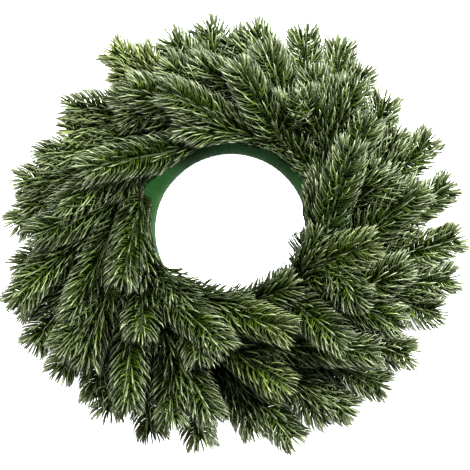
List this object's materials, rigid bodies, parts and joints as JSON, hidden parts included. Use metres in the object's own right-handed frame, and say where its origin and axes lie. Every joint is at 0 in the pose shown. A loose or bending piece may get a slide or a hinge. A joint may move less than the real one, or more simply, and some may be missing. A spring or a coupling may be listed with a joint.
{
  "type": "evergreen wreath",
  "caption": "Round evergreen wreath: fir sprays laid in one direction in three layers, bound with wire to a taped ring, with an open round centre.",
  "frame": {"origin": "middle of the wreath's outline on the surface that it lies on, at its flat back", "axes": "+Z out of the foliage face, away from the surface it lies on; +X and +Y lie in the wreath's plane, and from +Z the sprays turn counter-clockwise round the ring"},
  "size_m": [0.4724, 0.4432, 0.0893],
  "materials": {
    "foliage": "deep green fir needles, satin",
    "young_foliage": "paler yellow-green young fir needles, satin",
    "tape": "smooth green floral tape, wrapped",
    "wire": "thin dark green lacquered binding wire"
  },
  "bodies": {
    "root": {"binding_wire": "wire", "ring_core": "tape", "spray_inner_01": "foliage", "spray_inner_02": "foliage", "spray_inner_03": "foliage", "spray_inner_04": "foliage", "spray_inner_05": "foliage", "spray_inner_06": "foliage", "spray_low_01": "foliage", "spray_low_02": "foliage", "spray_low_03": "foliage", "spray_low_04": "foliage", "spray_low_05": "foliage", "spray_low_06": "foliage", "spray_low_07": "foliage", "spray_low_08": "foliage", "spray_low_09": "foliage", "spray_low_10": "foliage", "spray_low_11": "foliage", "spray_low_12": "foliage", "spray_low_13": "foliage", "spray_low_14": "foliage", "spray_low_15": "foliage", "spray_low_16": "foliage", "spray_low_17": "foliage", "spray_low_18": "foliage", "spray_low_19": "foliage", "spray_low_20": "foliage", "spray_low_21": "foliage", "spray_low_22": "foliage", "spray_low_23": "foliage", "spray_low_24": "foliage", "spray_mid_01": "young_foliage", "spray_mid_02": "foliage", "spray_mid_03": "foliage", "spray_mid_04": "foliage", "spray_mid_05": "foliage", "spray_mid_06": "foliage", "spray_mid_07": "foliage", "spray_mid_08": "foliage", "spray_mid_09": "foliage", "spray_mid_10": "foliage", "spray_mid_11": "young_foliage", "spray_mid_12": "foliage", "spray_mid_13": "foliage", "spray_mid_14": "foliage", "spray_mid_15": "foliage", "spray_mid_16": "foliage", "spray_mid_17": "foliage", "spray_top_01": "foliage", "spray_top_02": "young_foliage", "spray_top_03": "young_foliage", "spray_top_04": "young_foliage", "spray_top_05": "foliage", "spray_top_06": "foliage", "spray_top_07": "foliage", "spray_top_08": "foliage", "spray_top_09": "foliage", "spray_top_10": "foliage", "spray_top_11": "foliage"}
  },
  "joints": []
}
